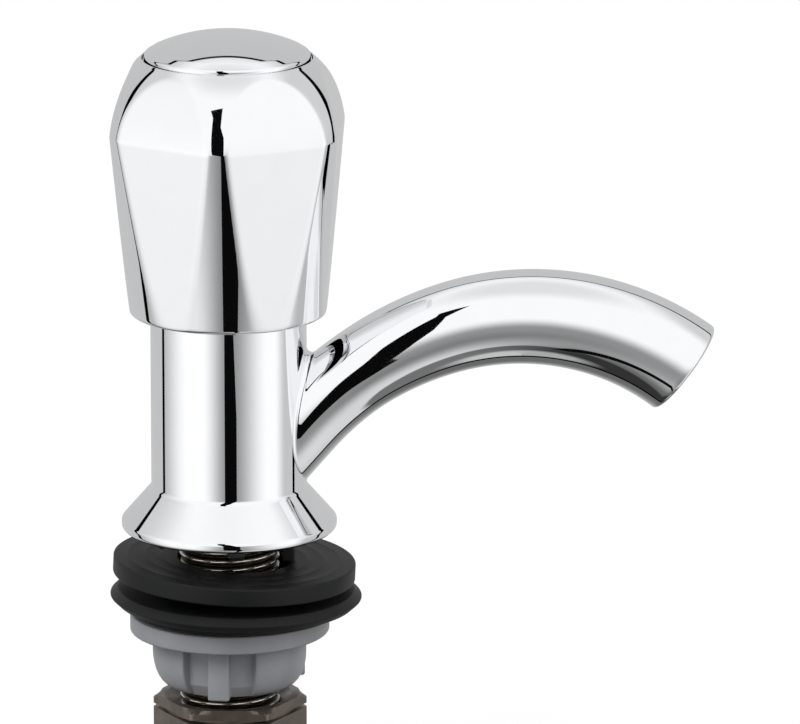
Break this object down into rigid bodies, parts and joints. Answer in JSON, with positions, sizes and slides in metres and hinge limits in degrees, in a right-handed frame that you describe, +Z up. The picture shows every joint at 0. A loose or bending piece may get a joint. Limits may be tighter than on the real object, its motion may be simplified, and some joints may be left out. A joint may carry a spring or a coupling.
{
  "type": "pillar tap",
  "caption": "Deck-mounted pillar tap with a fixed swan spout, a turning hexagonal knob over a compression headwork, and its clamp nuts and washers.",
  "frame": {"origin": "centre of the base flange's underside, on the deck plane, on the axis of the inlet bore", "axes": "+Z up along the barrel and tail, +X out along the spout, +Y towards the side away from the picture's camera"},
  "size_m": [0.1262, 0.0528, 0.1638],
  "materials": {
    "chrome": "polished",
    "raw_brass": "cut thread, dulled",
    "brass": "turned",
    "dull_brass": "turned, dulled brown",
    "gasket_rubber": "moulded, matte",
    "seal_rubber": "moulded",
    "grey_plastic": "moulded, satin",
    "black_plastic": "moulded",
    "white_plastic": "moulded",
    "grid_plastic": "moulded",
    "spring_steel": "bright",
    "screw_steel": "turned"
  },
  "bodies": {
    "tap": {"tap_body": "chrome", "threaded_tail": "raw_brass", "locating_fin": "black_plastic", "outlet_seal": "seal_rubber", "flow_straightener": "grid_plastic", "headwork_seal": "seal_rubber", "headwork_body": "brass", "top_washer": "gasket_rubber", "flanged_washer": "gasket_rubber", "plastic_backnut": "grey_plastic", "metal_backnut": "dull_brass"},
    "handle": {"knob": "chrome", "spline_bush": "white_plastic", "knob_screw": "screw_steel", "cap": "chrome", "spindle": "brass", "spindle_ring_lower": "seal_rubber", "spindle_ring_upper": "seal_rubber", "retaining_clip": "spring_steel"},
    "valve": {"plunger": "brass", "tap_washer": "seal_rubber", "washer_screw": "screw_steel"}
  },
  "joints": [
    {"name": "knob_turn", "type": "hinge", "parent": "tap", "child": "handle", "pos_m": [0, 0, 0.06], "axis": [0, 0, 1], "range_deg": [0, 900]},
    {"name": "valve_lift", "type": "slide", "parent": "tap", "child": "valve", "axis": [0, 0, 1], "range_m": [0, 0.005]}
  ],
  "couplings": [
    {"joint": "valve_lift", "follows": "knob_turn", "m_per_rad": 0.0003183}
  ]
}
